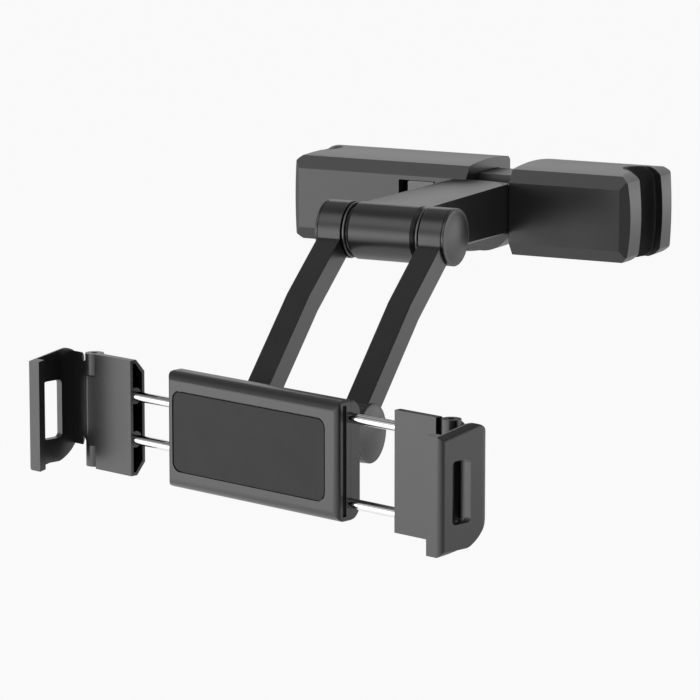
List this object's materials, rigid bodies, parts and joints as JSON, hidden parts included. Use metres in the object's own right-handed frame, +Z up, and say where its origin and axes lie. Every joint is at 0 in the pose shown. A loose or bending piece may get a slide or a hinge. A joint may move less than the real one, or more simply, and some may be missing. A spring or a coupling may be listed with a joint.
{
  "type": "headrest tablet mount",
  "caption": "Headrest mount with a telescoping post clamp, tilting link arms and a ball-swivel holder whose sprung jaws grip a tablet by its edges.",
  "frame": {"origin": "axis of the left post slot at the clamp's mid-height", "axes": "+X from the left post to the right one, +Y away from the tablet side, +Z up along the posts"},
  "size_m": [0.2241, 0.2769, 0.1108],
  "materials": {
    "shell_plastic": "satin charcoal moulding",
    "dark_plastic": "satin dark moulding",
    "rubber_pad": "matt",
    "polished_rod": "polished",
    "steel": "satin zinc"
  },
  "bodies": {
    "clamp_base": {"left_housing": "shell_plastic", "left_back_cover": "shell_plastic", "left_post_pad": "rubber_pad", "left_clamp_screws": "steel", "extension_arm": "shell_plastic", "arm_screws": "steel"},
    "lock_slider": {"lock_slider": "dark_plastic"},
    "right_clamp": {"right_housing": "shell_plastic", "right_back_cover": "shell_plastic", "right_post_pad": "rubber_pad", "right_clamp_screws": "steel", "telescoping_rail": "dark_plastic", "rail_pins": "steel"},
    "link_arms": {"left_link_arm": "shell_plastic", "right_link_arm": "shell_plastic", "upper_axle": "steel", "lower_axle": "steel", "upper_left_cap": "shell_plastic", "upper_right_cap": "shell_plastic", "lower_left_cap": "shell_plastic", "lower_right_cap": "shell_plastic", "upper_left_washer": "dark_plastic", "upper_right_washer": "dark_plastic", "lower_left_washer": "dark_plastic", "lower_right_washer": "dark_plastic"},
    "ball_knuckle": {"ball_knuckle": "dark_plastic"},
    "swivel_socket": {"swivel_socket": "dark_plastic"},
    "holder": {"front_shell": "shell_plastic", "rear_shell": "shell_plastic", "grip_pad": "rubber_pad", "swivel_retainer": "dark_plastic", "shell_screws": "steel", "pinion_axle": "steel", "return_spring": "steel"},
    "pinion": {"drive_pinion": "dark_plastic"},
    "left_jaw": {"left_jaw_block": "shell_plastic", "left_upper_rod": "polished_rod", "left_lower_rod": "polished_rod", "left_rack": "dark_plastic"},
    "right_jaw": {"right_jaw_block": "shell_plastic", "right_upper_rod": "polished_rod", "right_lower_rod": "polished_rod", "right_rack": "dark_plastic"},
    "left_hook": {"left_hook": "shell_plastic", "left_hook_pin": "steel"},
    "right_hook": {"right_hook": "shell_plastic", "right_hook_pin": "steel"}
  },
  "joints": [
    {"name": "clamp_width", "type": "slide", "parent": "clamp_base", "child": "right_clamp", "axis": [1, 0, 0], "range_m": [0, 0.024]},
    {"name": "lock_slide", "type": "slide", "parent": "clamp_base", "child": "lock_slider", "axis": [-1, 0, 0], "range_m": [0, 0.0036]},
    {"name": "upper_tilt", "type": "hinge", "parent": "clamp_base", "child": "link_arms", "pos_m": [0.0868, -0.1031, 0.0013], "axis": [1, 0, 0], "range_deg": [-60, 47]},
    {"name": "lower_tilt", "type": "hinge", "parent": "link_arms", "child": "ball_knuckle", "pos_m": [0.0868, -0.17536, -0.06608], "axis": [1, 0, 0], "range_deg": [-50, 60]},
    {"name": "holder_turn", "type": "hinge", "parent": "ball_knuckle", "child": "swivel_socket", "pos_m": [0.0868, -0.19386, -0.06608], "axis": [0, 0, 1], "range_deg": [-5, 37]},
    {"name": "holder_roll", "type": "hinge", "parent": "swivel_socket", "child": "holder", "pos_m": [0.0868, -0.19386, -0.06608], "axis": [0.2865, 0.9581, 0], "continuous": true},
    {"name": "right_jaw_slide", "type": "slide", "parent": "holder", "child": "right_jaw", "axis": [0.9581, -0.2865, 0], "range_m": [-0.024, 0.016]},
    {"name": "left_jaw_slide", "type": "slide", "parent": "holder", "child": "left_jaw", "axis": [-0.9581, 0.2865, 0], "range_m": [-0.024, 0.016]},
    {"name": "pinion_spin", "type": "hinge", "parent": "holder", "child": "pinion", "pos_m": [0.08307, -0.20631, -0.06768], "axis": [0.2865, 0.9581, 0], "range_deg": [-344, 230]},
    {"name": "left_hook_fold", "type": "hinge", "parent": "left_jaw", "child": "left_hook", "pos_m": [-0.00999, -0.17545, -0.06768], "axis": [0, 0, 1], "range_deg": [0, 90]},
    {"name": "right_hook_fold", "type": "hinge", "parent": "right_jaw", "child": "right_hook", "pos_m": [0.1778, -0.23161, -0.06768], "axis": [0, 0, -1], "range_deg": [0, 90]}
  ],
  "couplings": [
    {"joint": "left_jaw_slide", "follows": "right_jaw_slide", "ratio": 1},
    {"joint": "pinion_spin", "follows": "right_jaw_slide", "rad_per_m": 250}
  ]
}
